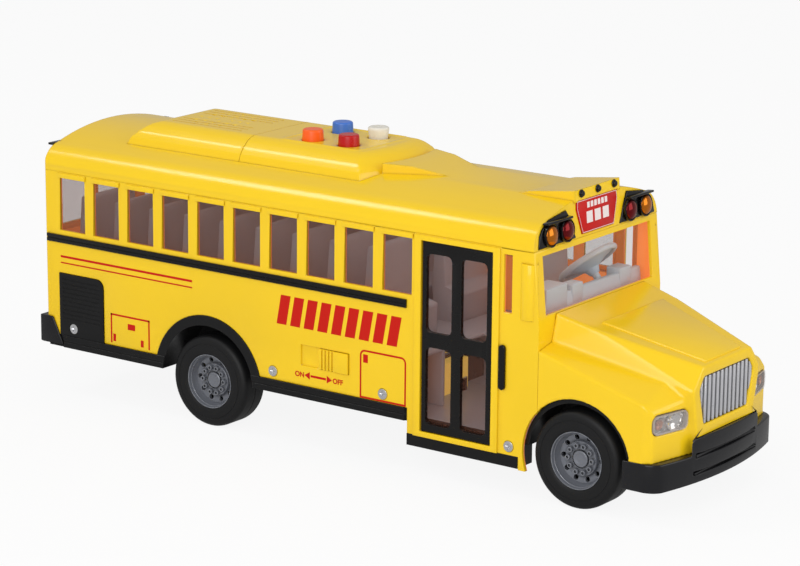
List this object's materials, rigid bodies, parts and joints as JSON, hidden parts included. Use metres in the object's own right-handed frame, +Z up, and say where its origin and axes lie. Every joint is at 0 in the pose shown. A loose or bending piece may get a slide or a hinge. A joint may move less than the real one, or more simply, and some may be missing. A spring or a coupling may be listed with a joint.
{
  "type": "toy bus",
  "caption": "Yellow toy bus with a hinged side door, a raised roof console with push buttons, a power slider, rolling wheels and a flywheel drive on the rear axle.",
  "frame": {"origin": "on the ground, under the middle of the bus's bounding box", "axes": "+X to the front, +Y to the left side, +Z up"},
  "size_m": [0.3334, 0.098, 0.1318],
  "materials": {
    "body_yellow": "moulded, semi-gloss yellow",
    "chassis_black": "moulded, satin black",
    "bumper_black": "moulded, satin black",
    "trim_black": "moulded, gloss black",
    "glazing": "clear tinted plastic",
    "button_orange": "gloss",
    "button_blue": "gloss",
    "button_red": "gloss",
    "button_white": "translucent",
    "silicone": "moulded",
    "board_green": "lacquered",
    "component_grey": "moulded",
    "grille_silver": "vacuum-plated silver",
    "lens_clear": "clear, fluted",
    "lens_amber": "clear amber",
    "lens_red": "clear red",
    "sign_red": "gloss",
    "cabin_grey": "moulded, matt",
    "steel": "bright",
    "tyre_black": "moulded, matt",
    "rim_grey": "semi-gloss grey",
    "gear_white": "moulded",
    "cell": "wrapped cell"
  },
  "bodies": {
    "bus": {"body_shell": "body_yellow", "hood": "body_yellow", "roof_shell": "body_yellow", "speaker_cover": "body_yellow", "button_cover": "body_yellow", "chassis": "chassis_black", "battery_cover": "chassis_black", "front_bumper": "bumper_black", "rear_bumper": "bumper_black", "belt_rail_right": "trim_black", "belt_rail_left": "trim_black", "louvre_right": "trim_black", "louvre_left": "trim_black", "grab_bar": "trim_black", "warning_box_right": "trim_black", "warning_box_left": "trim_black", "rear_lamp_box_right": "trim_black", "rear_lamp_box_left": "trim_black", "marker_lamps": "trim_black", "side_glazing_right": "glazing", "side_glazing_left": "glazing", "windscreen": "glazing", "rear_window": "glazing", "button_pad": "silicone", "circuit_board": "board_green", "speaker": "component_grey", "slide_switch": "component_grey", "radiator_grille": "grille_silver", "headlight_reflectors": "grille_silver", "headlight_lens_right": "lens_clear", "headlight_lens_left": "lens_clear", "amber_lenses": "lens_amber", "red_lenses": "lens_red", "tail_lamps": "lens_red", "sign_plate": "sign_red", "seat_tray": "cabin_grey", "dashboard": "cabin_grey", "steering_wheel": "cabin_grey", "body_screws": "steel", "gearbox": "gear_white", "batteries": "cell"},
    "front_wheels": {"front_axle": "steel", "rim_front_right": "rim_grey", "rim_front_left": "rim_grey", "tyre_front_right": "tyre_black", "tyre_front_left": "tyre_black"},
    "rear_wheels": {"rear_axle": "steel", "rim_rear_right": "rim_grey", "rim_rear_left": "rim_grey", "tyre_rear_right": "tyre_black", "tyre_rear_left": "tyre_black", "axle_gear": "gear_white"},
    "flywheel_shaft": {"flywheel": "steel"},
    "door": {"door_frame": "trim_black", "door_glazing": "glazing"},
    "switch_slider": {"power_slider": "body_yellow"},
    "orange_button": {"button_orange": "button_orange"},
    "blue_button": {"button_blue": "button_blue"},
    "red_button": {"button_red": "button_red"},
    "white_button": {"button_white": "button_white"}
  },
  "joints": [
    {"name": "front_wheels_spin", "type": "hinge", "parent": "bus", "child": "front_wheels", "pos_m": [0.12245, 0, 0.0205], "axis": [0, 1, 0], "continuous": true},
    {"name": "rear_wheels_spin", "type": "hinge", "parent": "bus", "child": "rear_wheels", "pos_m": [-0.06845, 0, 0.0205], "axis": [0, 1, 0], "continuous": true},
    {"name": "flywheel_spin", "type": "hinge", "parent": "bus", "child": "flywheel_shaft", "pos_m": [-0.06845, 0, 0.0326], "axis": [0, 1, 0], "continuous": true},
    {"name": "door_hinge", "type": "hinge", "parent": "bus", "child": "door", "pos_m": [0.0474, -0.047, 0.06], "axis": [0, 0, -1], "range_deg": [0, 95]},
    {"name": "power_slide", "type": "slide", "parent": "bus", "child": "switch_slider", "axis": [-1, 0, 0], "range_m": [0, 0.01]},
    {"name": "orange_press", "type": "slide", "parent": "bus", "child": "orange_button", "axis": [0, 0, -1], "range_m": [0, 0.0015], "stiffness_N_per_m": 250, "springref_m": -0.001},
    {"name": "blue_press", "type": "slide", "parent": "bus", "child": "blue_button", "axis": [0, 0, -1], "range_m": [0, 0.0015], "stiffness_N_per_m": 250, "springref_m": -0.001},
    {"name": "red_press", "type": "slide", "parent": "bus", "child": "red_button", "axis": [0, 0, -1], "range_m": [0, 0.0015], "stiffness_N_per_m": 250, "springref_m": -0.001},
    {"name": "white_press", "type": "slide", "parent": "bus", "child": "white_button", "axis": [0, 0, -1], "range_m": [0, 0.0015], "stiffness_N_per_m": 250, "springref_m": -0.001}
  ],
  "couplings": [
    {"joint": "flywheel_spin", "follows": "rear_wheels_spin", "ratio": -2}
  ]
}
